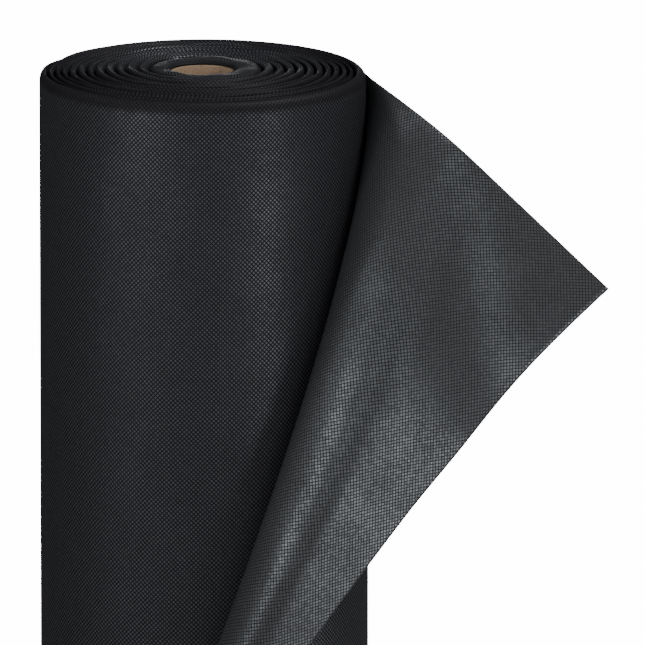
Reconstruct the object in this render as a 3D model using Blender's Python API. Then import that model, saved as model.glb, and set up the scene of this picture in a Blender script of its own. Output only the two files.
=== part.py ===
"""A standing roll of weed control fabric, with the corner of its last layer turned back.

The fabric is wound on a cardboard tube. At both ends its turns stand as soft rounded ridges,
and the innermost one leans over the end of the tube. The last layer comes round the back and
the right side, and its free corner is folded out to the right, so that its inner side shows.

Lengths are metres and angles degrees. +Z is up. The photographed side faces -Y, and an
azimuth is counted from there towards +X, so the fabric winds outwards as azimuths fall.
"""

import math

import bmesh
import bpy
from mathutils import Vector, kdtree

# The cardboard tube, and the tape that holds the fabric's first edge on it.
core_bore = 0.038
core_wall = 0.003
core_recess = 0.004
core_corners = 48
tape_width = 0.025
tape_thickness = 0.0003
tape_end_margin = 0.02
tape_columns = 4

# The wound fabric. A turn here is a bundle of thin layers, as thick as its ridge.
fabric_width = 1.0
roll_diameter = 0.2065
whole_turns = 12
stations_per_turn = 30
inner_end_azimuth = -20.0
seam_azimuth = 215.0
lip_radius = 0.0326
outermost_pitch = 0.004
shoulder_band = 0.0055
turn_gap = 0.0007
end_thickness = 0.0012
inner_end_ramp_share = 0.12
outer_end_ramp_share = 0.15
run_out_share = 0.07

# The ridges' rounded tops, the crown of the end face, and the feet, pressed flat.
ridge_drop = 0.0027
dome_height = 0.003
shoulder_drop = 0.0062
ridge_peak_share = 0.5
shoulder_peak_share = 0.3
half_round_share = math.sqrt(0.5)
lip_bore_margin = 0.0008
lip_edge_rise = 0.0014
foot_rise = 0.0015
foot_inset_share = 0.25
shoulder_inset_share = 0.6

# The last layer, and the slanted line along which it leaves the roll.
sheet_thickness = 0.001
fit_gap = 0.0003
leaving_azimuth = 102.2
cut_end_azimuth = -35.2
fold_depth = 0.525
fold_rise_power = 1.435
fold_round_power = 1.575
wall_columns = 12
upper_columns = 5
lower_columns = 11
curl_rows = 8

# The free corner, and the cut end from there down to where the fold runs out.
corner_out = 0.256
corner_forward = 0.069
corner_drop = 0.1203
cut_end_start_pull = 0.487
cut_end_start_turn = 182.3
cut_end_start_slope = -42.5
cut_end_landing_pull = 0.6
cut_end_landing_turn = 124.3
cut_end_landing_slope = -41.9

# The turned-back part, a curl that runs out straight: the ways it heads at top, middle and end.
curl_share = 0.54
curl_growth_power = 1.27
curl_start_share = 1.08
curl_finish_share = 1.1
reach_turns = (2.7, 73.0, 5.6)
reach_slopes = (-44.3, -30.7, -22.0)

# The loose corner, out from the straight line that it bends about.
corner_width = 0.078
bend_gap = 0.0009
bend_reach = 0.07
bend_fade_share = 0.15
corner_columns = 6
corner_rows = 8
search_steps = 40

crease_angle = 50.0
full_turn = 360.0
millimetre = 0.001
core_radius = core_bore / 2 + core_wall
core_top = fabric_width - core_recess
first_face = core_radius + 2 * fit_gap + tape_thickness
wound_radius = roll_diameter / 2
turns = whole_turns + (inner_end_azimuth - seam_azimuth) % full_turn / full_turn
wall_top = fabric_width - dome_height - shoulder_drop
wall_bottom = shoulder_drop
spiral_turns = turns - 1 - outer_end_ramp_share
spiral_growth = wound_radius - shoulder_band - lip_radius
innermost_pitch = 2 * spiral_growth / spiral_turns - outermost_pitch
wall_step = (seam_azimuth - leaving_azimuth) / wall_columns
facet_share = 1 / math.cos(math.radians(wall_step / 2))
sheet_radius = (wound_radius + fit_gap + sheet_thickness / 2) * facet_share
fold_run = sheet_radius * math.radians(leaving_azimuth - cut_end_azimuth)
bend_out = corner_out - corner_width


def smooth(share):
    """A soft step from 0 to 1."""
    share = min(max(share, 0), 1)
    return share * share * (3 - 2 * share)


def mix(start, end, share):
    return start + (end - start) * share


def place(radius, azimuth, height):
    angle = math.radians(azimuth)
    return Vector((radius * math.sin(angle), -radius * math.cos(angle), height))


def winding_way(azimuth):
    """The level direction in which the fabric winds on at this azimuth."""
    angle = math.radians(azimuth)
    return Vector((-math.cos(angle), -math.sin(angle), 0))


def heading(turned, slope):
    """The unit vector that is turned this far from +X and slopes this much."""
    around = math.radians(turned)
    up = math.radians(slope)
    return Vector((math.cos(up) * math.cos(around), math.cos(up) * math.sin(around), math.sin(up)))


def hermite(start, start_pull, end, end_pull, share):
    square = share * share
    cube = square * share
    return (
        (2 * cube - 3 * square + 1) * start
        + (cube - 2 * square + share) * start_pull
        + (3 * square - 2 * cube) * end
        + (cube - square) * end_pull
    )


# The winding. A place along it is counted in turns from its inner end.


def spiral(at):
    """The radius where the pitch falls evenly from turn to turn."""
    fall = (innermost_pitch - outermost_pitch) / spiral_turns
    return lip_radius + innermost_pitch * at - fall * at * at / 2


def outer_face(at):
    last = turns - 1
    step = end_thickness + turn_gap
    if at < inner_end_ramp_share:
        return mix(first_face + end_thickness, spiral(at), smooth(at / inner_end_ramp_share))
    if at < spiral_turns:
        return spiral(at)
    if at < last:
        climb = smooth((at - spiral_turns) / outer_end_ramp_share)
        return mix(spiral(spiral_turns), wound_radius - step, climb)
    return mix(wound_radius - step, wound_radius, smooth((at - last) / run_out_share))


def inner_face(at):
    if at < 1:
        return first_face + (end_thickness + turn_gap) * smooth((at - 1) / run_out_share + 1)
    return outer_face(at - 1) + turn_gap


def ridge_section(at):
    """The turn's cross section, as radii and heights, anticlockwise from its inner foot."""
    inner = inner_face(at)
    outer = outer_face(at)
    width = outer - inner
    leaning = smooth((1 - at) / run_out_share)
    outermost = smooth((at - turns + 1) / run_out_share + 1)
    crown = (outer - first_face) / (wound_radius - first_face)
    top = fabric_width - dome_height * crown * crown
    lip_edge = mix(inner, core_bore / 2 + lip_bore_margin, leaning)
    lip_edge_height = core_top + fit_gap + lip_edge_rise
    inner_height = mix(top - ridge_drop, lip_edge_height, leaning)
    drop = mix(ridge_drop, shoulder_drop, outermost)
    peak = mix(lip_edge, outer, mix(ridge_peak_share, shoulder_peak_share, outermost))
    rounded = 1 - half_round_share
    wall_height = min(core_top + fit_gap, inner_height - fit_gap)
    return [
        (inner, foot_rise),
        (inner + width * foot_inset_share, 0),
        (outer - width * mix(foot_inset_share, shoulder_inset_share, outermost), 0),
        (outer, mix(foot_rise, shoulder_drop, outermost)),
        (outer, top - drop),
        (mix(outer, peak, rounded), top - drop * rounded),
        (peak, top),
        (mix(lip_edge, peak, rounded), mix(top, inner_height, rounded)),
        (lip_edge, inner_height),
        (inner, wall_height),
    ]


def least_turn_gap(stations):
    """The least distance between neighbouring turns, on points along both faces."""
    fine = [mix(a, b, share) for a, b in zip(stations, stations[1:]) for share in (0, 0.5)]
    azimuths = {at: inner_end_azimuth - full_turn * at for at in stations}

    def face_point(face, at):
        if at in azimuths:
            return place(face(at), azimuths[at], 0)
        before = max(s for s in stations if s < at)
        after = min(s for s in stations if s > at)
        return (face_point(face, before) + face_point(face, after)) / 2

    later = [at for at in fine if at >= 1]
    tree = kdtree.KDTree(len(later))
    for index, at in enumerate(later):
        tree.insert(face_point(inner_face, at), index)
    tree.balance()
    earlier = [at for at in fine if at <= turns - 1]
    return min(tree.find(face_point(outer_face, at))[2] for at in earlier)


# The turned-back sheet. Its depth share runs down the fold, and across share out to the cut end.


def fold_run_share(depth_share):
    """How much of its run the fold line has made at this share of its depth."""
    return (1 - (1 - depth_share) ** (1 / fold_rise_power)) ** (1 / fold_round_power)


def fold_depth_share(run_share):
    return 1 - (1 - run_share**fold_round_power) ** fold_rise_power


def fold_point(depth_share):
    azimuth = mix(leaving_azimuth, cut_end_azimuth, fold_run_share(depth_share))
    return azimuth, place(sheet_radius, azimuth, wall_top - depth_share * fold_depth)


def cut_end_point(depth_share):
    corner = Vector((corner_out, -corner_forward, wall_top - corner_drop))
    start_pull = cut_end_start_pull * heading(cut_end_start_turn, cut_end_start_slope)
    landing_pull = cut_end_landing_pull * heading(cut_end_landing_turn, cut_end_landing_slope)
    return hermite(corner, start_pull, fold_point(1)[1], landing_pull, depth_share)


def reach(depth_share):
    """The way the sheet heads once its curl has run out."""
    up = 1 - depth_share
    weights = (up * up, 2 * up * depth_share, depth_share * depth_share)
    ways = [heading(turned, slope) for turned, slope in zip(reach_turns, reach_slopes)]
    return sum((weight * way for weight, way in zip(weights, ways)), Vector()).normalized()


def plain_sheet_point(depth_share, across_share):
    azimuth, start = fold_point(depth_share)
    end = cut_end_point(depth_share)
    way = reach(depth_share)
    free = fold_run * (1 - fold_run_share(depth_share))
    curled = mix(curl_share, 1, depth_share**curl_growth_power)
    if across_share >= curled:
        return end - free * (1 - across_share) * way
    curl_end = end - free * (1 - curled) * way
    pull = free * curled
    start_pull = pull * curl_start_share * winding_way(azimuth)
    end_pull = pull * curl_finish_share * way
    return hermite(start, start_pull, curl_end, end_pull, across_share / curled)


def crossing_share(depth_share, out):
    """The across share at which a row is this far out, past 1 where it ends before that."""
    free = fold_run * (1 - fold_run_share(depth_share))
    beyond = cut_end_point(depth_share).x - out
    return 1 - beyond / (free * reach(depth_share).x)


def crossing_depth(out):
    """The depth share at which the cut end is this far out."""
    low, high = 0, 1
    for _ in range(search_steps):
        middle = (low + high) / 2
        if cut_end_point(middle).x > out:
            low = middle
        else:
            high = middle
    return low


bend_end_share = crossing_depth(bend_out)
bend_top = plain_sheet_point(0, crossing_share(0, bend_out))
bend_bottom = cut_end_point(bend_end_share)


def sheet_point(depth_share, across_share):
    """A point of the sheet, set back or forward near the bend line to make that straight."""
    point = plain_sheet_point(depth_share, across_share)
    fade = smooth((bend_end_share - depth_share) / bend_fade_share + 1)
    near = smooth(1 - abs(point.x - bend_out) / bend_reach)
    if fade * near > 0:
        crossing = plain_sheet_point(depth_share, crossing_share(depth_share, bend_out))
        line_share = (crossing.z - bend_top.z) / (bend_bottom.z - bend_top.z)
        point.y += (mix(bend_top.y, bend_bottom.y, line_share) - crossing.y) * fade * near
    return point


# Making objects.


def fabric_material(name, colour, roughness):
    material = bpy.data.materials.new(name)
    material.use_nodes = True
    shader = material.node_tree.nodes["Principled BSDF"]
    shader.inputs["Base Color"].default_value = (*colour, 1)
    shader.inputs["Roughness"].default_value = roughness
    shader.inputs["Metallic"].default_value = 0
    return material


def add_object(name, mesh_points, faces, material, parent):
    """Makes one object whose mesh is seen from its parent's origin."""
    mesh = bpy.data.meshes.new(name)
    mesh.from_pydata(mesh_points, [], faces)
    shape = bmesh.new()
    shape.from_mesh(mesh)
    bmesh.ops.recalc_face_normals(shape, faces=shape.faces)
    shape.to_mesh(mesh)
    shape.free()
    mesh.shade_smooth()
    mesh.set_sharp_from_angle(angle=math.radians(crease_angle))
    mesh.materials.append(material)
    made = bpy.data.objects.new(name, mesh)
    bpy.context.scene.collection.objects.link(made)
    made.parent = parent
    return made


def thicken(sheet):
    solid = sheet.modifiers.new("Thickness", "SOLIDIFY")
    solid.thickness = sheet_thickness
    solid.offset = 0


def add_empty(name, location, parent=None):
    empty = bpy.data.objects.new(name, None)
    bpy.context.scene.collection.objects.link(empty)
    empty.location = location
    empty.parent = parent
    return empty


def swept(sections, closed):
    """Points and faces of a skin through equal rings of points, capped unless it closes."""
    size = len(sections[0])
    points = [point for section in sections for point in section]
    count = len(sections)
    faces = []
    for index in range(count if closed else count - 1):
        here = index * size
        there = (index + 1) % count * size
        for corner in range(size):
            after = (corner + 1) % size
            faces.append((here + corner, here + after, there + after, there + corner))
    if not closed:
        faces.append(tuple(range(size)))
        faces.append(tuple(range((count - 1) * size, count * size)))
    return points, faces


def add_core(material, parent):
    inner = core_bore / 2
    ring = [
        (inner, core_recess),
        (core_radius, core_recess),
        (core_radius, core_top),
        (inner, core_top),
    ]
    azimuths = [full_turn * step / core_corners for step in range(core_corners)]
    sections = [[place(radius, azimuth, height) for radius, height in ring] for azimuth in azimuths]
    points, faces = swept(sections, closed=True)
    return add_object("core_tube", points, faces, material, parent)


def add_tape(material, parent):
    """A strip between the tube and the fabric, under the fabric's first edge."""
    inner = core_radius + fit_gap
    outer = inner + tape_thickness
    low = core_recess + tape_end_margin
    high = core_top - tape_end_margin
    ring = [(inner, low), (outer, low), (outer, high), (inner, high)]
    sweep = math.degrees(tape_width / core_radius)
    sections = []
    for column in range(tape_columns + 1):
        azimuth = inner_end_azimuth - sweep * column / tape_columns
        sections.append([place(radius, azimuth, height) for radius, height in ring])
    points, faces = swept(sections, closed=False)
    return add_object("start_tape", points, faces, material, parent)


def add_winding(material, parent):
    count = math.floor(turns * stations_per_turn)
    stations = [step / stations_per_turn for step in range(count + 1)] + [turns]
    sections = []
    for at in stations:
        azimuth = inner_end_azimuth - full_turn * at
        sections.append([place(radius, azimuth, height) for radius, height in ridge_section(at)])
    points, faces = swept(sections, closed=False)
    print(f"least gap between turns {least_turn_gap(stations) / millimetre:.2f} mm")
    return add_object("wound_fabric", points, faces, material, parent)


def curl_columns():
    """Each fold column's run share, with how far across its row goes before the bend."""
    edge = bend_out - bend_gap / 2
    end_run_share = fold_run_share(crossing_depth(edge))
    columns = []
    for column in range(upper_columns):
        run_share = end_run_share * column / upper_columns
        columns.append((run_share, crossing_share(fold_depth_share(run_share), edge)))
    for column in range(lower_columns + 1):
        columns.append((mix(end_run_share, 1, column / lower_columns), 1))
    return columns


def add_outer_layer(material, parent):
    """The layer on the roll, with the curl that lifts off it along the fold line."""
    points = []
    columns = []
    for column in range(wall_columns + 1):
        azimuth = mix(seam_azimuth, leaving_azimuth, column / wall_columns)
        columns.append([len(points), len(points) + 1])
        points += [place(sheet_radius, azimuth, height) for height in (wall_bottom, wall_top)]
    for run_share, limit_share in curl_columns():
        depth_share = fold_depth_share(run_share)
        azimuth, fold = fold_point(depth_share)
        if run_share == 0:
            indices = columns.pop()
        else:
            indices = [len(points), len(points) + 1]
            points += [place(sheet_radius, azimuth, wall_bottom), fold]
        if run_share < 1:
            for row in range(1, curl_rows + 1):
                indices.append(len(points))
                points.append(sheet_point(depth_share, limit_share * row / curl_rows))
        columns.append(indices)
    faces = []
    for here, there in zip(columns, columns[1:]):
        faces.append((here[0], here[1], there[1], there[0]))
        for row in range(1, len(here) - 1):
            if len(there) > row + 1:
                faces.append((here[row], here[row + 1], there[row + 1], there[row]))
            elif len(there) == 2:
                faces.append((here[row], here[row + 1], there[1]))
    layer = add_object("outer_layer", points, faces, material, parent)
    thicken(layer)
    return layer


def add_loose_corner(material, parent):
    """The straight end of the turned-back sheet, on an empty in its bend line."""
    hinge = add_empty("corner_bend", (bend_top + bend_bottom) / 2, parent)
    edge = bend_out + bend_gap / 2
    end_share = crossing_depth(edge)
    points = []
    faces = []
    size = corner_columns + 1
    for row in range(corner_rows):
        depth_share = end_share * row / corner_rows
        start_share = crossing_share(depth_share, edge)
        for column in range(size):
            point = sheet_point(depth_share, mix(start_share, 1, column / corner_columns))
            points.append(point - hinge.location)
    for row in range(corner_rows - 1):
        for column in range(corner_columns):
            first = row * size + column
            faces.append((first, first + 1, first + size + 1, first + size))
    tip = len(points)
    points.append(sheet_point(end_share, 1) - hinge.location)
    last_row = (corner_rows - 1) * size
    for column in range(corner_columns):
        faces.append((last_row + column, last_row + column + 1, tip))
    corner = add_object("loose_corner", points, faces, material, hinge)
    thicken(corner)
    return corner, hinge, (bend_top - bend_bottom).normalized()


def centre_on_origin(frame, objects):
    """Moves the roll so that the middle of its base is at the origin."""
    bpy.context.view_layer.update()
    graph = bpy.context.evaluated_depsgraph_get()
    corners = []
    for made in objects:
        solid = made.evaluated_get(graph)
        corners += [solid.matrix_world @ vertex.co for vertex in solid.data.vertices]
    low = Vector([min(corner[axis] for corner in corners) for axis in range(3)])
    high = Vector([max(corner[axis] for corner in corners) for axis in range(3)])
    frame.location = -Vector(((low.x + high.x) / 2, (low.y + high.y) / 2, low.z))
    bpy.context.view_layer.update()
    return high - low


def main():
    for old in list(bpy.data.objects):
        bpy.data.objects.remove(old, do_unlink=True)
    card = fabric_material("brown cardboard", (0.52, 0.36, 0.21), 0.85)
    tape = fabric_material("clear brown tape", (0.45, 0.33, 0.2), 0.35)
    fabric = fabric_material("black fabric, outer side", (0.012, 0.012, 0.015), 0.55)
    inner_side = fabric_material("black fabric, inner side", (0.03, 0.031, 0.034), 0.6)
    roll = add_empty("roll_axis", (0, 0, 0))
    objects = [
        add_core(card, roll),
        add_tape(tape, roll),
        add_winding(fabric, roll),
        add_outer_layer(fabric, roll),
    ]
    corner, hinge, bend_axis = add_loose_corner(inner_side, roll)
    size = centre_on_origin(roll, [*objects, corner])
    print("size", [round(length, 4) for length in size])
    print("roll axis at", [round(length, 5) for length in roll.location])
    print("bend line through", [round(length, 5) for length in hinge.matrix_world.translation])
    print("bend line along", [round(length, 5) for length in bend_axis])


main()
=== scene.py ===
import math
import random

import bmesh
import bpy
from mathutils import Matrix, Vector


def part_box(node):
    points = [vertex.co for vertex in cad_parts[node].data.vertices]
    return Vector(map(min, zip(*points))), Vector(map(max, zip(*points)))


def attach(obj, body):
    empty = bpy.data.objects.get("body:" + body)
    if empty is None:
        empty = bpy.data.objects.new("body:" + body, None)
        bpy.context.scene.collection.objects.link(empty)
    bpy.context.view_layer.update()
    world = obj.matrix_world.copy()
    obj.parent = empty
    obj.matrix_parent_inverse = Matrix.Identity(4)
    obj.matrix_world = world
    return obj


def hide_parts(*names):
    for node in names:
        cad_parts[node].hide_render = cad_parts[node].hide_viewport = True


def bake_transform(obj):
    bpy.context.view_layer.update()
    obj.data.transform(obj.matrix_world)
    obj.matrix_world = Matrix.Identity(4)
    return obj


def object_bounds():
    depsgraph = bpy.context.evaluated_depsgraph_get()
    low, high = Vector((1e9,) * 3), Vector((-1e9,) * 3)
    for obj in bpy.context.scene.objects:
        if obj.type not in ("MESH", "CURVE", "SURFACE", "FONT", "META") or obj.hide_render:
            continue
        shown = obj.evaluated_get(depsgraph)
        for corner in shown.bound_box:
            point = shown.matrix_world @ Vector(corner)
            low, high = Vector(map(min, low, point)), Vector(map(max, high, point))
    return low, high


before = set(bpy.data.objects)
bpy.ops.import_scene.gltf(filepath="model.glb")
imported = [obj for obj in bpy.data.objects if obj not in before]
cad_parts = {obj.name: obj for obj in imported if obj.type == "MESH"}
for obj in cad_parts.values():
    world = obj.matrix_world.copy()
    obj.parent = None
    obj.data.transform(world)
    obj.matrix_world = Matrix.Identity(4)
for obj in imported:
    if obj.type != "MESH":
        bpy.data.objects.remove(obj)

# A standing roll of weed control fabric, with the corner of its last layer turned back.
#
# Lengths are metres and angles degrees. The photographed side faces -Y, and an azimuth is
# counted from there towards +X. The fabric winds outwards as azimuths fall.

cad_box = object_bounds()
tube_low, tube_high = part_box("core_tube")
roll_axis = Vector(((tube_low.x + tube_high.x) / 2, (tube_low.y + tube_high.y) / 2, 0))

# The cardboard tube.
core_bore = 0.038
core_wall = 0.003
core_recess = 0.004
core_corners = 128
core_edge = 0.0006

# The wound fabric. It has the solid's sizes, but finer stations and ridges and softer ends: a
# thinner first edge, a lower lip edge, and a dip where each end of the winding closes.
fabric_width = 1.0
roll_diameter = 0.2065
tape_thickness = 0.0003
whole_turns = 12
stations_per_turn = 120
inner_end_azimuth = -20.0
seam_azimuth = 215.0
lip_radius = 0.0326
outermost_pitch = 0.004
shoulder_band = 0.0055
turn_gap = 0.0007
end_thickness = 0.0005
splice_share = 0.03
start_dip = 0.0012
end_dip = 0.005
outer_end_ramp_share = 0.15
run_out_share = 0.07
seam_run_out_share = 0.2
ridge_drop = 0.0027
dome_height = 0.003
shoulder_drop = 0.0062
ridge_peak_share = 0.5
shoulder_peak_share = 0.3
lip_bore_margin = 0.0008
lip_edge_rise = 0.0005
foot_rise = 0.0015
foot_inset_share = 0.25
ridge_pinch = 0.0006
ridge_pinch_depth = 0.008
shoulder_inset_share = 0.6
quarter_points = 10
foot_points = 4

# How the soft turns vary, the groove along each ridge, and the puckers of the lip, which vary less
# the higher their even share is.
turn_waver = 0.00028
top_waver = 0.00045
groove_depth = 0.0009
groove_share = 0.42
groove_width_share = 0.12
pucker_depth = 0.0003
puckers_per_turn = 58
pucker_even_share = 0.6

# The last layer and its turned-back part. The solid's thickness and facets give its radius.
layer_thickness = 0.001
layer_facets = 12
sheet_thickness = 0.0005
fit_gap = 0.0003
leaving_azimuth = 102.2
cut_end_azimuth = -35.2
fold_depth = 0.525
fold_rise_power = 1.435
fold_round_power = 1.575
wall_columns = 60
wall_rows = 6
wall_edge_band = 0.001
fold_columns = 110
curl_rows = 72
seam_dip = 0.0009
seam_dip_angle = 9.0

# The free corner, and the cut end from there down to where the fold runs out.
corner_out = 0.256
corner_forward = 0.069
corner_drop = 0.1203
cut_end_start_pull = 0.487
cut_end_start_turn = 182.3
cut_end_start_slope = -42.5
cut_end_landing_pull = 0.6
cut_end_landing_turn = 124.3
cut_end_landing_slope = -41.9
curl_share = 0.54
curl_growth_power = 1.27
curl_start_share = 1.08
curl_finish_share = 1.1
reach_turns = (2.7, 73.0, 5.6)
reach_slopes = (-44.3, -30.7, -22.0)

# The straight line that the loose corner bends about, and how far from it the sheet is set back
# or forward to make that line straight.
corner_width = 0.078
bend_reach = 0.07
bend_fade_share = 0.15
search_steps = 40

# The least angle between faces that shows as an edge.
crease_angle = 50.0

# The pressed dots of the fabric, in slanted rows, and where they get faint on the winding. At the
# lip's inner edge that fading is painted shade. The heights are those of the fabric's map.
dot_pitch = 0.00202
dot_softness_share = 0.16
weakest_dot_share = 0.75
cloudy_dot_share = 0.8
wall_rim_heights = (0.987, 0.9925)
rim_dot_share = 0.2
ridge_crest_heights = (0.9985, 1.001)
ridge_dot_share = 0.2
# Painted shade: the dots fade towards the lip's inner edge, darkening it as if the bore shaded it.
lip_painted_shade_radii = (0.0205, 0.0245)
lip_painted_shade_dot_share = 0.2

# The fabric's looks: partly metallic dots on dull black, with clouds and fine fibres.
fabric_specular_share = 0.15
dot_metal_share = 0.72
dot_relief = 0.00012
dot_relief_share = 0.6
cloud_scale = 28
cloud_detail = 3
cloud_levels = (0.3, 0.7)
cloud_relief = 0.0008
cloud_relief_share = 0.5
fibre_scale = 1500
fibre_detail = 2
fibre_levels = (0.35, 0.65)
fibre_relief = 0.00004
fibre_brightness = 1.7
outer_look = dict(
    dot_share=0.62,
    base=(0.0074, 0.0068, 0.0094),
    dots=(0.172, 0.18, 0.195),
    base_roughness=0.6,
    dot_roughness=0.34,
)
inner_look = dict(
    dot_share=0.78,
    base=(0.0078, 0.0076, 0.0095),
    dots=(0.184, 0.194, 0.205),
    base_roughness=0.6,
    dot_roughness=0.36,
)

# The cardboard, wound from slanted strips, with fibres and dark specks.
cardboard_dark = (0.33, 0.222, 0.14)
cardboard_pale = (0.425, 0.305, 0.2)
cardboard_roughness = 0.85
cardboard_scale = 900
cardboard_detail = 4
cardboard_levels = (0.3, 0.7)
cardboard_relief = 0.0001
speck_colour = (0.12, 0.08, 0.05)
speck_scale = 420
speck_detail = 1
speck_levels = (0.66, 0.72)
speck_share = 0.8
strip_width = 0.1003
strip_slant = 0.84
strip_seam_colour = (0.2, 0.13, 0.08)
strip_seam_share = 0.6
strip_seam_width_share = 0.006

# The tape.
tape_dark = (0.4, 0.28, 0.16)
tape_pale = (0.5, 0.37, 0.22)
tape_roughness = 0.3
crinkle_scale = 300
crinkle_detail = 2
crinkle_relief = 0.0001

# The camera: the photograph's frame, 645 pixels square.
photo_pixels = 645
pixel_size = 0.000633
axis_pixel = 203
wall_top_pixel = 80
camera_elevation = 12.4
camera_distance = 14.0
camera_reach = 100.0
sensor_width = 36.0

# The studio.
white = (1, 1, 1, 1)
floor_corners = 128
floor_radius = 2.2
floor_clear_radius = 0.5
floor_gap = 0.0005
floor_colour = (0.93, 0.93, 0.93, 1)
floor_roughness = 0.9
floor_glow = 1.8
world_seen = 15.0
world_felt = 0.03

# The softboxes: name, azimuth, elevation, distance, size, watts and the height that each faces.
far_distance = 2.2
near_distance = 0.9
close_distance = 0.51
tall_box = (0.35, 0.9)
back_box = (0.5, 0.9)
square_box = (0.6, 0.6)
wide_box = (0.5, 0.35)
upright_box = (0.4, 0.5)
near_box = (0.35, 0.35)
close_box = (0.25, 0.25)
upper_aim = 0.82
close_aim = 0.8
lower_aim = 0.7
softboxes = (
    ("left front", -50, 12, far_distance, tall_box, 6.7, upper_aim),
    ("right front", 46, -12, far_distance, tall_box, 3.6, upper_aim),
    ("left side", -85, 35, far_distance, square_box, 4.4, upper_aim),
    ("right low", 68, -24, far_distance, square_box, 1.1, upper_aim),
    ("right top", 60, 62, far_distance, square_box, 9, upper_aim),
    ("right back top", 85, 62, far_distance, square_box, 18, upper_aim),
    ("back", 180, 0, far_distance, back_box, 9, lower_aim),
    ("near left", -30, 25, near_distance, near_box, 1.2, lower_aim),
    ("front", 31, 8, far_distance, wide_box, 1.8, upper_aim),
    ("front high", 2, 17, far_distance, upright_box, 3.2, upper_aim),
    ("near right low", 58, -24, close_distance, close_box, 0.32, close_aim),
)

full_turn = 360.0

# Worked out from the sizes above.
core_radius = core_bore / 2 + core_wall
core_top = fabric_width - core_recess
first_face = core_radius + 2 * fit_gap + tape_thickness
wound_radius = roll_diameter / 2
turns = whole_turns + (inner_end_azimuth - seam_azimuth) % full_turn / full_turn
wall_top = fabric_width - dome_height - shoulder_drop
wall_bottom = shoulder_drop
spiral_turns = turns - 1 - outer_end_ramp_share
spiral_growth = wound_radius - shoulder_band - lip_radius
innermost_pitch = 2 * spiral_growth / spiral_turns - outermost_pitch
facet_angle = math.radians(seam_azimuth - leaving_azimuth) / layer_facets
sheet_radius = (wound_radius + fit_gap + layer_thickness / 2) / math.cos(facet_angle / 2)
fold_run = sheet_radius * math.radians(leaving_azimuth - cut_end_azimuth)
bend_out = corner_out - corner_width


def smooth(share):
    """A soft step from 0 to 1."""
    share = min(max(share, 0), 1)
    return share * share * (3 - 2 * share)


def mix(start, end, share):
    return start + (end - start) * share


def place(radius, azimuth, height):
    angle = math.radians(azimuth)
    return Vector((radius * math.sin(angle), -radius * math.cos(angle), height))


def winding_way(azimuth):
    """The level direction in which the fabric winds on at this azimuth."""
    angle = math.radians(azimuth)
    return Vector((-math.cos(angle), -math.sin(angle), 0))


def heading(turned, slope):
    """The unit vector that is turned this far from +X and slopes this much."""
    around = math.radians(turned)
    up = math.radians(slope)
    return Vector((math.cos(up) * math.cos(around), math.cos(up) * math.sin(around), math.sin(up)))


def hermite(start, start_pull, end, end_pull, share):
    """A point of a cubic curve that heads along start_pull at its start and end_pull at its end."""
    square = share * share
    cube = square * share
    return (
        (2 * cube - 3 * square + 1) * start
        + (cube - 2 * square + share) * start_pull
        + (3 * square - 2 * cube) * end
        + (cube - square) * end_pull
    )


def make_waver(seed, rates):
    """A smooth wave of about one unit, made of sines with drawn phases."""
    draw = random.Random(seed)
    waves = [(rate, draw.random()) for rate in rates]

    def waver(at):
        total = sum(math.sin(2 * math.pi * (rate * at + phase)) for rate, phase in waves)
        return total / math.sqrt(len(waves))

    return waver


# The winding. A place along it is counted in turns from its inner end.

turn_wave = make_waver(seed=3, rates=(0.63, 1.31, 2.17, 3.43, 5.71))
top_wave = make_waver(seed=5, rates=(0.37, 1.13, 2.59, 4.87, 7.3))
pucker_wave = make_waver(seed=8, rates=(0.71, 1.9, 3.3))


def spiral(at):
    """The radius where the pitch falls evenly from turn to turn."""
    fall = (innermost_pitch - outermost_pitch) / spiral_turns
    return lip_radius + innermost_pitch * at - fall * at * at / 2


def plain_outer_face(at):
    """The turn's outer face before it wavers. One turn before the fabric's thin end it lies a step
    lower, which leaves room for that end.
    """
    last = turns - 1
    step = end_thickness + turn_gap
    if at < spiral_turns:
        return spiral(at)
    if at < last:
        climb = smooth((at - spiral_turns) / outer_end_ramp_share)
        return mix(spiral(spiral_turns), wound_radius - step, climb)
    return mix(wound_radius - step, wound_radius, smooth((at - last) / seam_run_out_share))


def outer_face(at):
    """The turn's outer face, which wavers a little between the two plain ends."""
    fade = smooth(at) * smooth(spiral_turns - at)
    return plain_outer_face(at) + turn_waver * fade * turn_wave(at)


def inner_face(at):
    """The turn's inner face. The second turn's start closes the lip over the fabric's first edge."""
    if at < 1:
        return first_face
    return mix(first_face, outer_face(at - 1) + turn_gap, smooth((at - 1) / splice_share))


def quarter_arc(start, end, upright, steps):
    """A quarter of an ellipse between two places, which sets off upright or level."""
    arc = []
    for step in range(steps + 1):
        angle = math.pi / 2 * step / steps
        slow_share = 1 - math.cos(angle)
        fast_share = math.sin(angle)
        out_share, up_share = (slow_share, fast_share) if upright else (fast_share, slow_share)
        arc.append((mix(start[0], end[0], out_share), mix(start[1], end[1], up_share)))
    return arc


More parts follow.
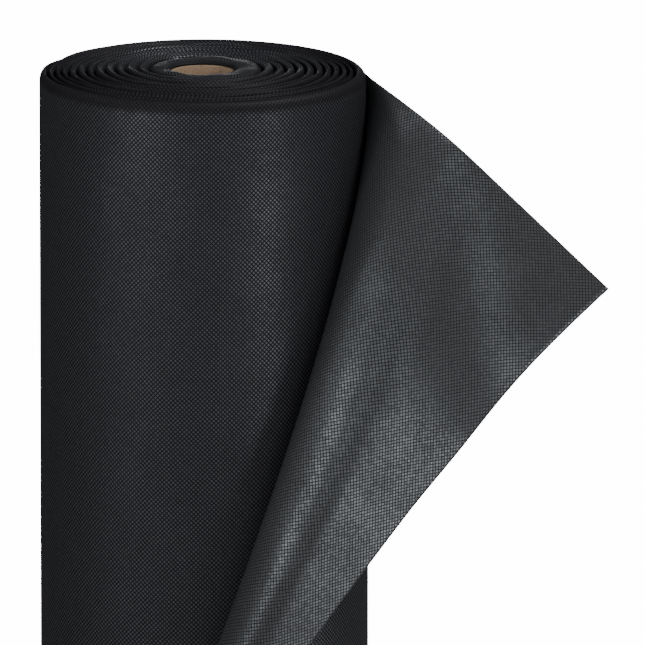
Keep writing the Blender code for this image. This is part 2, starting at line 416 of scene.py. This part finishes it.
def ridge_section(at):
    """The turn's cross section, anticlockwise from its inner foot, as radii and heights."""
    inner = inner_face(at)
    outer = outer_face(at)
    width = outer - inner
    # Leaning is 1 on the innermost turn, the lip, and outermost is 1 on the last turn.
    leaning = smooth(1 - (at - 1) / splice_share)
    outermost = smooth((at - turns + 1) / run_out_share + 1)
    crown = (outer - first_face) / (wound_radius - first_face)
    top = fabric_width - dome_height * crown * crown
    top += top_waver * top_wave(at) * (1 - outermost) - top_waver
    top -= start_dip * smooth(1 - at / splice_share)
    top -= end_dip * smooth((at - turns) / outer_end_ramp_share + 1)
    pucker = pucker_depth * leaning * math.sin(2 * math.pi * puckers_per_turn * at)
    pucker *= pucker_even_share + (1 - pucker_even_share) * pucker_wave(at)
    lip_edge = mix(inner, core_bore / 2 + lip_bore_margin + pucker, leaning)
    lip_edge_height = core_top + fit_gap + lip_edge_rise
    inner_height = mix(top - ridge_drop, lip_edge_height, leaning)
    drop = mix(ridge_drop, shoulder_drop, outermost)
    peak = mix(lip_edge, outer, mix(ridge_peak_share, shoulder_peak_share, outermost))
    foot_inset = width * foot_inset_share
    outer_inset = width * mix(foot_inset_share, shoulder_inset_share, outermost)
    outer_rise = mix(foot_rise, shoulder_drop, outermost)
    pinched_outer = outer - ridge_pinch * (1 - outermost)
    pinched_inner = lip_edge + ridge_pinch * (1 - leaning)
    crest = (peak, top)
    section = [
        *quarter_arc((inner, foot_rise), (inner + foot_inset, 0), True, foot_points),
        *quarter_arc((outer - outer_inset, 0), (outer, outer_rise), False, foot_points),
        (outer, top - drop - ridge_pinch_depth),
        *quarter_arc((pinched_outer, top - drop), crest, True, quarter_points)[:-1],
        *quarter_arc(crest, (pinched_inner, inner_height), False, quarter_points),
        (inner, mix(inner_height - ridge_pinch_depth, core_top + fit_gap, leaning)),
    ]
    grooved = []
    for radius, height in section:
        away = ((radius - inner) / width - groove_share) / groove_width_share
        dip = groove_depth * math.exp(-away * away) * (1 - outermost) * (1 - leaning)
        grooved.append((radius, height - dip if height > core_top - ridge_drop else height))
    return grooved


def winding_stations():
    count = math.floor(turns * stations_per_turn)
    return [step / stations_per_turn for step in range(count + 1)] + [turns]


def fabric_runs(stations):
    """How far the fabric has run at each station."""
    runs = [0]
    for before, at in zip(stations, stations[1:]):
        runs.append(runs[-1] + (at - before) * 2 * math.pi * outer_face(at))
    return runs


# The turned-back sheet. Its depth share runs down the fold, and across share out to the cut end.


def fold_run_share(depth_share):
    """How much of its run the fold line has made at this share of its depth."""
    return (1 - (1 - depth_share) ** (1 / fold_rise_power)) ** (1 / fold_round_power)


def fold_depth_share(run_share):
    """How deep the fold line is at this share of its run."""
    return 1 - (1 - run_share**fold_round_power) ** fold_rise_power


def fold_point(depth_share):
    """The azimuth and the point at which the sheet leaves the wall."""
    azimuth = mix(leaving_azimuth, cut_end_azimuth, fold_run_share(depth_share))
    return azimuth, place(sheet_radius, azimuth, wall_top - depth_share * fold_depth)


def cut_end_point(depth_share):
    """A point of the cut end, which runs from the free corner down to the fold line's end."""
    corner = Vector((corner_out, -corner_forward, wall_top - corner_drop))
    start_pull = cut_end_start_pull * heading(cut_end_start_turn, cut_end_start_slope)
    landing_pull = cut_end_landing_pull * heading(cut_end_landing_turn, cut_end_landing_slope)
    return hermite(corner, start_pull, fold_point(1)[1], landing_pull, depth_share)


def reach(depth_share):
    """The way the sheet heads once its curl has run out."""
    up = 1 - depth_share
    weights = (up * up, 2 * up * depth_share, depth_share * depth_share)
    ways = [heading(turned, slope) for turned, slope in zip(reach_turns, reach_slopes)]
    return sum((weight * way for weight, way in zip(weights, ways)), Vector()).normalized()


def plain_sheet_point(depth_share, across_share):
    """A point of the sheet, which curls off the wall and then heads straight to the cut end."""
    azimuth, start = fold_point(depth_share)
    end = cut_end_point(depth_share)
    way = reach(depth_share)
    free = fold_run * (1 - fold_run_share(depth_share))
    curled = mix(curl_share, 1, depth_share**curl_growth_power)
    if across_share >= curled:
        return end - free * (1 - across_share) * way
    curl_end = end - free * (1 - curled) * way
    pull = free * curled
    start_pull = pull * curl_start_share * winding_way(azimuth)
    end_pull = pull * curl_finish_share * way
    return hermite(start, start_pull, curl_end, end_pull, across_share / curled)


def crossing_share(depth_share, out):
    """The across share at which a row is this far out, past 1 where it ends before that."""
    free = fold_run * (1 - fold_run_share(depth_share))
    beyond = cut_end_point(depth_share).x - out
    return 1 - beyond / (free * reach(depth_share).x)


def crossing_depth(out):
    """The depth share at which the cut end is this far out."""
    low, high = 0, 1
    for _ in range(search_steps):
        middle = (low + high) / 2
        if cut_end_point(middle).x > out:
            low = middle
        else:
            high = middle
    return low


bend_end_share = crossing_depth(bend_out)
bend_top = plain_sheet_point(0, crossing_share(0, bend_out))
bend_bottom = cut_end_point(bend_end_share)


def sheet_point(depth_share, across_share):
    """A point of the sheet, set back or forward near the bend line to make that straight."""
    point = plain_sheet_point(depth_share, across_share)
    fade = smooth((bend_end_share - depth_share) / bend_fade_share + 1)
    near = smooth(1 - abs(point.x - bend_out) / bend_reach)
    if fade * near > 0:
        crossing = plain_sheet_point(depth_share, crossing_share(depth_share, bend_out))
        line_share = (crossing.z - bend_top.z) / (bend_bottom.z - bend_top.z)
        point.y += (mix(bend_top.y, bend_bottom.y, line_share) - crossing.y) * fade * near
    return point


# Making objects.


def add_mesh(name, points, faces, flat_places, materials):
    """A smooth mesh at the roll's axis. Its map holds each point's place on the flat material."""
    mesh = bpy.data.meshes.new(name)
    mesh.from_pydata(points, [], faces)
    flat_map = mesh.uv_layers.new(name="flat fabric")
    for loop in mesh.loops:
        flat_map.data[loop.index].uv = flat_places[loop.vertex_index]
    shape = bmesh.new()
    shape.from_mesh(mesh)
    bmesh.ops.recalc_face_normals(shape, faces=shape.faces)
    shape.to_mesh(mesh)
    shape.free()
    mesh.shade_smooth()
    mesh.set_sharp_from_angle(angle=math.radians(crease_angle))
    for material in materials:
        mesh.materials.append(material)
    made = bpy.data.objects.new(name, mesh)
    bpy.context.scene.collection.objects.link(made)
    made.location = roll_axis
    return made


def swept(sections, closed):
    """Points and faces of a skin through equal rings of points, capped unless it closes."""
    size = len(sections[0])
    points = [point for section in sections for point in section]
    count = len(sections)
    faces = []
    for index in range(count if closed else count - 1):
        here = index * size
        there = (index + 1) % count * size
        for corner in range(size):
            after = (corner + 1) % size
            faces.append((here + corner, here + after, there + after, there + corner))
    if not closed:
        faces.append(tuple(range(size)))
        faces.append(tuple(range((count - 1) * size, count * size)))
    return points, faces


def add_tube(material):
    inner = core_bore / 2
    ring = [
        (inner, core_recess + core_edge),
        (inner + core_edge, core_recess),
        (core_radius - core_edge, core_recess),
        (core_radius, core_recess + core_edge),
        (core_radius, core_top - core_edge),
        (core_radius - core_edge, core_top),
        (inner + core_edge, core_top),
        (inner, core_top - core_edge),
    ]
    sections = []
    flat_places = []
    for corner in range(core_corners):
        azimuth = full_turn * corner / core_corners
        sections.append([place(radius, azimuth, height) for radius, height in ring])
        run = inner * math.radians(azimuth)
        flat_places += [(run, height + radius) for radius, height in ring]
    points, faces = swept(sections, closed=True)
    tube = add_mesh("cardboard_tube", points, faces, flat_places, [material])
    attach(tube, "roll")
    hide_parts("core_tube")


def add_winding(material):
    sections = []
    flat_places = []
    stations = winding_stations()
    for at, run in zip(stations, fabric_runs(stations)):
        azimuth = inner_end_azimuth - full_turn * at
        section = ridge_section(at)
        sections.append([place(radius, azimuth, height) for radius, height in section])
        # On the outer wall the map holds the height, and it goes on by length over the crest.
        lengths = [0]
        for last, corner in zip(section, section[1:]):
            lengths.append(lengths[-1] + math.dist(last, corner))
        wall_start = 2 * foot_points + 1
        below = section[wall_start][1] - lengths[wall_start]
        flat_places += [(run, length + below) for length in lengths]
    points, faces = swept(sections, closed=False)
    winding = add_mesh("wound_layers", points, faces, flat_places, [material])
    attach(winding, "roll")
    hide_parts("wound_fabric")


def seam_radius(azimuth):
    """The layer's radius, which dips down to the winding's face at the seam in the back."""
    dip = 1 - smooth((seam_azimuth - azimuth) / seam_dip_angle)
    return sheet_radius - seam_dip * dip


def wall_heights(top):
    """The heights of a wall column's points. A narrow band at each end keeps the rims' shading
    from spreading over the wall.
    """
    low = wall_bottom + wall_edge_band
    high = top - wall_edge_band
    return [wall_bottom, *(mix(low, high, row / wall_rows) for row in range(wall_rows + 1)), top]


def sheet_skin():
    """The last layer from the seam to its turned-back corner: points, faces and flat places."""
    points = []
    flat_places = []

    def add_point(point, flat_place):
        points.append(point)
        flat_places.append(flat_place)
        return len(points) - 1

    def wall_column(azimuth, top, run):
        radius = seam_radius(azimuth)
        heights = wall_heights(top)
        return [add_point(place(radius, azimuth, height), (run, height)) for height in heights]

    columns = []
    for column in range(wall_columns + 1):
        azimuth = mix(seam_azimuth, leaving_azimuth, column / wall_columns)
        run = -sheet_radius * math.radians(azimuth - leaving_azimuth)
        columns.append(wall_column(azimuth, wall_top, run))
    for column in range(fold_columns + 1):
        depth_share = fold_depth_share(column / fold_columns)
        azimuth, fold = fold_point(depth_share)
        run = fold_run * column / fold_columns
        indices = columns.pop() if column == 0 else wall_column(azimuth, fold.z, run)
        free_rows = curl_rows if column < fold_columns else 0
        for row in range(1, free_rows + 1):
            share = row / curl_rows
            flat_place = (mix(run, fold_run, share), fold.z)
            indices.append(add_point(sheet_point(depth_share, share), flat_place))
        columns.append(indices)
    faces = []
    for here, there in zip(columns, columns[1:]):
        for row in range(len(here) - 1):
            if len(there) > row + 1:
                faces.append((here[row], here[row + 1], there[row + 1], there[row]))
            else:
                faces.append((here[row], here[row + 1], there[-1]))
    return points, faces, flat_places


def add_last_layer(outer_material, inner_material):
    """The last layer with its turned-back corner, as one sheet with its thickness."""
    sheet = add_mesh("last_layer", *sheet_skin(), [outer_material, inner_material])
    solid = sheet.modifiers.new("Thickness", "SOLIDIFY")
    solid.thickness = sheet_thickness
    solid.offset = 0
    solid.material_offset = 1
    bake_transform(sheet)
    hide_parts("outer_layer", "loose_corner")


# Materials.


class Shading:
    """A material whose nodes are made by short calls."""

    def __init__(self, name):
        self.material = bpy.data.materials.new(name)
        self.material.use_nodes = True
        self.tree = self.material.node_tree
        self.shader = self.tree.nodes["Principled BSDF"]

    def add(self, kind, **values):
        node = self.tree.nodes.new(kind)
        for name, value in values.items():
            setattr(node, name, value)
        return node

    def join(self, source, target):
        self.tree.links.new(source, target)

    def feed(self, value, target):
        if isinstance(value, (int, float, tuple)):
            target.default_value = value
        else:
            self.join(value, target)

    def set(self, name, value):
        self.feed(value, self.shader.inputs[name])

    def place_on_object(self):
        return self.add("ShaderNodeTexCoord").outputs["Object"]

    def place_on_flat_fabric(self):
        flat_place = self.add("ShaderNodeUVMap", uv_map="flat fabric")
        split = self.add("ShaderNodeSeparateXYZ")
        self.join(flat_place.outputs[0], split.inputs[0])
        return split.outputs[0], split.outputs[1]

    def length(self, vector):
        node = self.add("ShaderNodeVectorMath", operation="LENGTH")
        self.join(vector, node.inputs[0])
        return node.outputs["Value"]

    def math(self, operation, *values):
        node = self.add("ShaderNodeMath", operation=operation)
        for value, target in zip(values, node.inputs):
            self.feed(value, target)
        return node.outputs[0]

    def fade(self, value, low, high, start, end):
        """A soft step from start to end while the value goes from low to high."""
        node = self.add("ShaderNodeMapRange", interpolation_type="SMOOTHSTEP")
        for number, target in zip((value, low, high, start, end), node.inputs):
            self.feed(number, target)
        return node.outputs[0]

    def blend(self, share, first, second):
        node = self.add("ShaderNodeMix", data_type="RGBA")
        self.feed(share, node.inputs["Factor"])
        for colour, target in ((first, node.inputs[6]), (second, node.inputs[7])):
            self.feed((*colour, 1) if isinstance(colour, tuple) else colour, target)
        return node.outputs[2]

    def choose(self, share, first, second):
        node = self.add("ShaderNodeMix", data_type="FLOAT")
        for value, index in ((share, 0), (first, 2), (second, 3)):
            self.feed(value, node.inputs[index])
        return node.outputs[0]

    def noise(self, where, scale, detail):
        node = self.add("ShaderNodeTexNoise")
        self.join(where, node.inputs["Vector"])
        node.inputs["Scale"].default_value = scale
        node.inputs["Detail"].default_value = detail
        return node.outputs[0]

    def bump(self, height, distance, strength=1.0, under=None):
        node = self.add("ShaderNodeBump")
        self.join(height, node.inputs["Height"])
        node.inputs["Distance"].default_value = distance
        node.inputs["Strength"].default_value = strength
        if under is not None:
            self.join(under, node.inputs["Normal"])
        return node.outputs[0]


def dot_lattice(shading, across, along, pitch):
    """How far a place is from its dot's middle, as a square's share, and a draw for each dot."""
    scale = 1 / (pitch * math.sqrt(2))
    sides = []
    cells = []
    for operation in ("ADD", "SUBTRACT"):
        slant = shading.math("MULTIPLY", shading.math(operation, across, along), scale)
        side = shading.math("SUBTRACT", shading.math("FRACT", slant), 0.5)
        sides.append(shading.math("MULTIPLY", shading.math("ABSOLUTE", side), 2))
        cells.append(shading.math("FLOOR", slant))
    edge = shading.math("MAXIMUM", *sides)
    cell = shading.add("ShaderNodeCombineXYZ")
    for value, target in zip(cells, cell.inputs):
        shading.join(value, target)
    draw = shading.add("ShaderNodeTexWhiteNoise", noise_dimensions="2D")
    shading.join(cell.outputs[0], draw.inputs["Vector"])
    return edge, draw.outputs[0]


def wound_dot_strength(shading, where, across, along):
    """How strong the dots are on the winding. They get faint at the rim of the last turn's wall and
    under the crests of the other turns, and at the lip's inner edge, where the fading is painted
    shade.
    """
    last_turn_run = fabric_runs(winding_stations())[-1] - 2 * math.pi * wound_radius
    on_last_turn = shading.fade(across, last_turn_run, last_turn_run + dot_pitch, 0, 1)
    rim = shading.fade(along, *wall_rim_heights, 1, rim_dot_share)
    ridge = shading.fade(along, *ridge_crest_heights, ridge_dot_share, 1)
    on_turn = shading.choose(on_last_turn, ridge, rim)
    level = shading.add("ShaderNodeVectorMath", operation="MULTIPLY")
    level.inputs[1].default_value = (1, 1, 0)
    shading.join(where, level.inputs[0])
    radius = shading.length(level.outputs[0])
    # Painted shade: the dots fade towards the lip's inner edge, darkening it as if the bore shaded
    # it.
    painted_lip_shade = shading.fade(radius, *lip_painted_shade_radii, lip_painted_shade_dot_share, 1)
    return shading.math("MULTIPLY", on_turn, painted_lip_shade)


def fabric_material(name, dot_share, base, dots, base_roughness, dot_roughness, wound=False):
    """Black fabric with a pressed lattice of dots."""
    shading = Shading(name)
    across, along = shading.place_on_flat_fabric()
    edge, draw = dot_lattice(shading, across, along, dot_pitch)
    dot = shading.fade(edge, dot_share - dot_softness_share, dot_share + dot_softness_share, 1, 0)
    where = shading.place_on_object()
    cloud = shading.noise(where, cloud_scale, cloud_detail)
    fibre = shading.noise(where, fibre_scale, fibre_detail)
    if wound:
        dot = shading.math("MULTIPLY", dot, wound_dot_strength(shading, where, across, along))
    drawn = shading.fade(draw, 0, 1, weakest_dot_share, 1)
    clouded = shading.fade(cloud, *cloud_levels, cloudy_dot_share, 1)
    lit = shading.math("MULTIPLY", dot, shading.math("MULTIPLY", drawn, clouded))
    fibrous = shading.fade(fibre, *fibre_levels, 0, 1)
    bright_base = tuple(channel * fibre_brightness for channel in base)
    ground = shading.blend(fibrous, base, bright_base)
    shading.set("Base Color", shading.blend(lit, ground, dots))
    shading.set("Roughness", shading.fade(lit, 0, 1, base_roughness, dot_roughness))
    shading.set("Metallic", shading.fade(lit, 0, 1, 0, dot_metal_share))
    shading.set("Specular IOR Level", fabric_specular_share)
    relief = shading.bump(fibre, fibre_relief)
    relief = shading.bump(dot, dot_relief, dot_relief_share, relief)
    shading.set("Normal", shading.bump(cloud, cloud_relief, cloud_relief_share, relief))
    return shading.material


def cardboard_material():
    shading = Shading("brown cardboard")
    where = shading.place_on_object()
    fibre = shading.noise(where, cardboard_scale, cardboard_detail)
    speck = shading.noise(where, speck_scale, speck_detail)
    across, along = shading.place_on_flat_fabric()
    slant = shading.math("MULTIPLY_ADD", across, strip_slant, along)
    strip = shading.math("FRACT", shading.math("DIVIDE", slant, strip_width))
    from_seam = shading.math("ABSOLUTE", shading.math("SUBTRACT", strip, 0.5))
    seam = shading.fade(from_seam, 0, strip_seam_width_share, 1, 0)
    fibrous = shading.fade(fibre, *cardboard_levels, 0, 1)
    paper = shading.blend(fibrous, cardboard_dark, cardboard_pale)
    paper = shading.blend(shading.fade(speck, *speck_levels, 0, speck_share), paper, speck_colour)
    seam = shading.math("MULTIPLY", seam, strip_seam_share)
    shading.set("Base Color", shading.blend(seam, paper, strip_seam_colour))
    shading.set("Roughness", cardboard_roughness)
    shading.set("Normal", shading.bump(fibre, cardboard_relief))
    return shading.material


def tape_material():
    shading = Shading("brown tape")
    crinkle = shading.noise(shading.place_on_object(), crinkle_scale, crinkle_detail)
    shading.set("Base Color", shading.blend(crinkle, tape_dark, tape_pale))
    shading.set("Roughness", tape_roughness)
    shading.set("Normal", shading.bump(crinkle, crinkle_relief))
    return shading.material


# Floor, light and camera.


def add_floor():
    """A pale round floor whose rim fades into the white behind it."""
    bpy.ops.mesh.primitive_circle_add(
        vertices=floor_corners,
        radius=floor_radius,
        fill_type="NGON",
    )
    floor = bpy.context.object
    floor.name = "pale_floor"
    floor.location.z = cad_box[0].z - floor_gap
    shading = Shading("pale floor")
    away = shading.length(shading.place_on_object())
    shading.set("Alpha", shading.fade(away, floor_clear_radius, floor_radius, 1, 0))
    seen = shading.add("ShaderNodeLightPath").outputs["Is Camera Ray"]
    shading.set("Emission Strength", shading.math("MULTIPLY", seen, floor_glow))
    shading.set("Emission Color", white)
    shading.set("Base Color", floor_colour)
    shading.set("Roughness", floor_roughness)
    floor.data.materials.append(shading.material)


def add_softbox(name, azimuth, elevation, distance, size, watts, aim_height):
    """An area light this far from a point of the roll's axis, which it faces."""
    light = bpy.data.lights.new(name, "AREA")
    light.shape = "RECTANGLE"
    light.size, light.size_y = size
    light.energy = watts
    lamp = bpy.data.objects.new(name, light)
    bpy.context.scene.collection.objects.link(lamp)
    lamp.visible_camera = False
    rise = math.radians(elevation)
    away = place(distance * math.cos(rise), azimuth, distance * math.sin(rise))
    lamp.location = roll_axis + Vector((0, 0, aim_height)) + away
    lamp.rotation_mode = "QUATERNION"
    lamp.rotation_quaternion = (-away).to_track_quat("-Z", "Y")


def add_world():
    """White where the camera sees past the floor, and much dimmer as a light."""
    world = bpy.data.worlds.new("studio")
    world.use_nodes = True
    bpy.context.scene.world = world
    tree = world.node_tree
    ground = tree.nodes["Background"]
    ground.inputs["Color"].default_value = white
    ray = tree.nodes.new("ShaderNodeLightPath")
    strength = tree.nodes.new("ShaderNodeMapRange")
    strength.inputs["To Min"].default_value = world_felt
    strength.inputs["To Max"].default_value = world_seen
    tree.links.new(ray.outputs["Is Camera Ray"], strength.inputs["Value"])
    tree.links.new(strength.outputs[0], ground.inputs["Strength"])


def add_camera():
    """The photograph's view: the pixels of the roll's axis and of its wall's top set the aim."""
    elevation = math.radians(camera_elevation)
    middle = photo_pixels / 2
    aside = (middle - axis_pixel) * pixel_size
    drop = (middle - wall_top_pixel) * pixel_size / math.cos(elevation)
    aim = roll_axis + Vector((aside, 0, wall_top - drop))
    back = Vector((0, -math.cos(elevation), math.sin(elevation)))
    data = bpy.data.cameras.new("photo camera")
    data.sensor_width = sensor_width
    data.lens = sensor_width * camera_distance / (photo_pixels * pixel_size)
    data.clip_end = camera_reach
    camera = bpy.data.objects.new("photo camera", data)
    bpy.context.scene.collection.objects.link(camera)
    camera.location = aim + camera_distance * back
    camera.rotation_mode = "QUATERNION"
    camera.rotation_quaternion = (-back).to_track_quat("-Z", "Y")
    bpy.context.scene.camera = camera


def finish_tape():
    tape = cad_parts["start_tape"]
    tape.data.materials.clear()
    tape.data.materials.append(tape_material())


add_tube(cardboard_material())
add_winding(fabric_material("black fabric, outer side", wound=True, **outer_look))
add_last_layer(
    fabric_material("black fabric, last layer", **outer_look),
    fabric_material("black fabric, inner side", **inner_look),
)
finish_tape()
add_floor()
for softbox in softboxes:
    add_softbox(*softbox)
add_world()
add_camera()
